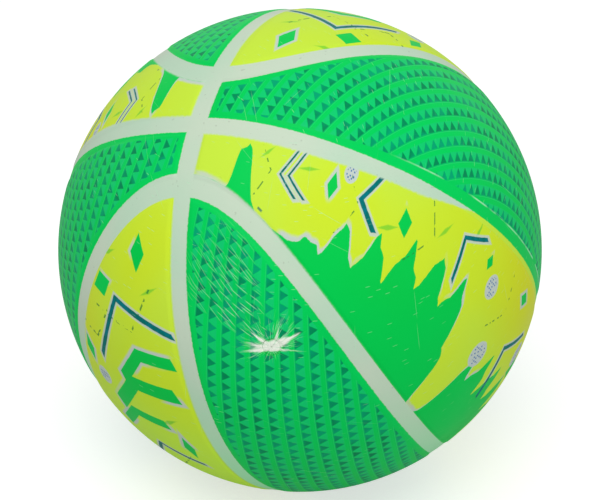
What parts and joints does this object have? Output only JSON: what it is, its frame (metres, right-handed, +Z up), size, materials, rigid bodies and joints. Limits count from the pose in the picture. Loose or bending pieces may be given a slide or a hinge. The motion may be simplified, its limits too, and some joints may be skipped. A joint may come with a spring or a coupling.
{
  "type": "rubber play ball",
  "caption": "Hollow rubber play ball with raised cover panels, pale recessed seams and a plug valve.",
  "frame": {"origin": "middle of the ball", "axes": "+Z up from the contact patch that the ball rests on; -Y towards the side that shows the valve, +X to the right of a viewer there"},
  "size_m": [0.2198, 0.22, 0.2193],
  "materials": {
    "green_rubber": "glossy printed rubber, green with teal triangles",
    "yellow_rubber": "glossy printed rubber, lime yellow with green blocks",
    "seam_rubber": "semi-gloss, milky grey-white",
    "carcass_rubber": "matte, milky white",
    "bladder_rubber": "matte black butyl",
    "valve_rubber": "satin, off-white",
    "plug_plastic": "soft satin plastic, white"
  },
  "bodies": {
    "ball": {"bladder": "bladder_rubber", "carcass": "carcass_rubber", "oval_panel_upper_left": "green_rubber", "oval_panel_upper_right": "yellow_rubber", "oval_panel_lower_left": "yellow_rubber", "oval_panel_lower_right": "green_rubber", "side_panel_upper_left": "yellow_rubber", "side_panel_upper_right": "green_rubber", "side_panel_lower_left": "green_rubber", "side_panel_lower_right": "yellow_rubber", "seam_strip_long": "seam_rubber", "seam_strip_cross_left": "seam_rubber", "seam_strip_cross_right": "seam_rubber", "seam_strip_oval_upper_left": "seam_rubber", "seam_strip_oval_upper_right": "seam_rubber", "seam_strip_oval_lower_left": "seam_rubber", "seam_strip_oval_lower_right": "seam_rubber", "valve_housing": "valve_rubber"},
    "plug": {"valve_plug": "plug_plastic"}
  },
  "joints": [
    {"name": "plug_pull", "type": "slide", "parent": "ball", "child": "plug", "axis": [-0.1061, -0.9827, 0.1516], "range_m": [0, 0.022]}
  ]
}
